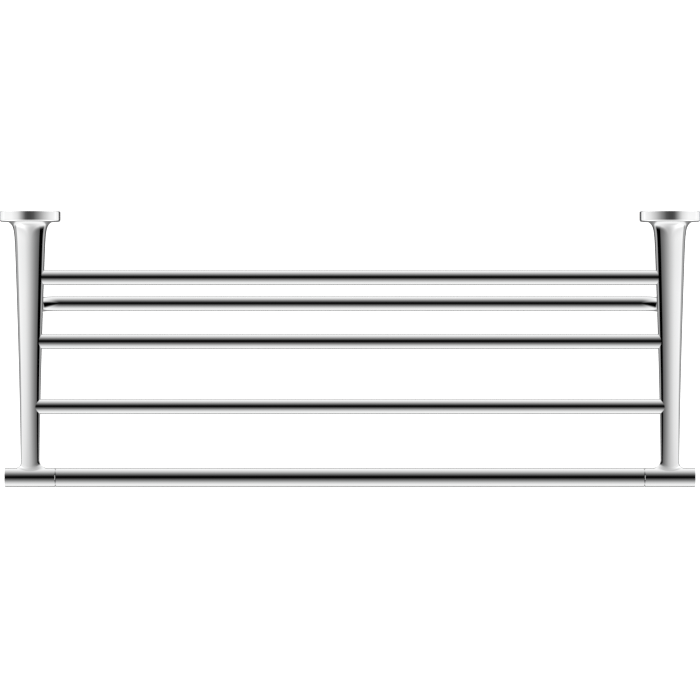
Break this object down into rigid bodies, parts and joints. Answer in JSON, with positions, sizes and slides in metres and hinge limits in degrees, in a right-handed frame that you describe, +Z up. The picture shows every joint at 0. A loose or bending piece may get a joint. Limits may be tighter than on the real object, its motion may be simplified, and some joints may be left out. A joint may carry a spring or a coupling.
{
  "type": "towel shelf with lower towel rail",
  "caption": "Wall-mounted chrome towel shelf: round bars between two tapered T-headed arms on round rosettes, with a U-shaped towel rail underneath.",
  "frame": {"origin": "on the wall plane, midway between the two wall fixings, at the height of the arms' axes", "axes": "+X along the bars to the right as seen from the room, +Y into the wall, +Z up"},
  "size_m": [0.657, 0.2585, 0.1005],
  "materials": {
    "chrome": "mirror-polished chrome plating",
    "bracket_steel": "turned and zinc-plated",
    "screw_steel": "plain stainless",
    "plug_brass": "turned brass"
  },
  "bodies": {
    "root": {"front_bar_left_plug": "plug_brass", "front_bar_right_plug": "plug_brass", "front_rail": "chrome", "front_shelf_bar": "chrome", "left_arm": "chrome", "left_arm_grub_screws": "screw_steel", "left_arm_screw": "screw_steel", "left_rail_grub_screw": "screw_steel", "left_rail_spigot": "plug_brass", "left_rosette": "chrome", "left_rosette_grub_screw": "screw_steel", "left_wall_bracket": "bracket_steel", "lower_rail_left_plug": "plug_brass", "lower_rail_right_plug": "plug_brass", "lower_towel_rail": "chrome", "middle_bar_left_plug": "plug_brass", "middle_bar_right_plug": "plug_brass", "middle_shelf_bar": "chrome", "rear_bar_left_plug": "plug_brass", "rear_bar_right_plug": "plug_brass", "rear_shelf_bar": "chrome", "right_arm": "chrome", "right_arm_grub_screws": "screw_steel", "right_arm_screw": "screw_steel", "right_rail_grub_screw": "screw_steel", "right_rail_spigot": "plug_brass", "right_rosette": "chrome", "right_rosette_grub_screw": "screw_steel", "right_wall_bracket": "bracket_steel"}
  },
  "joints": []
}
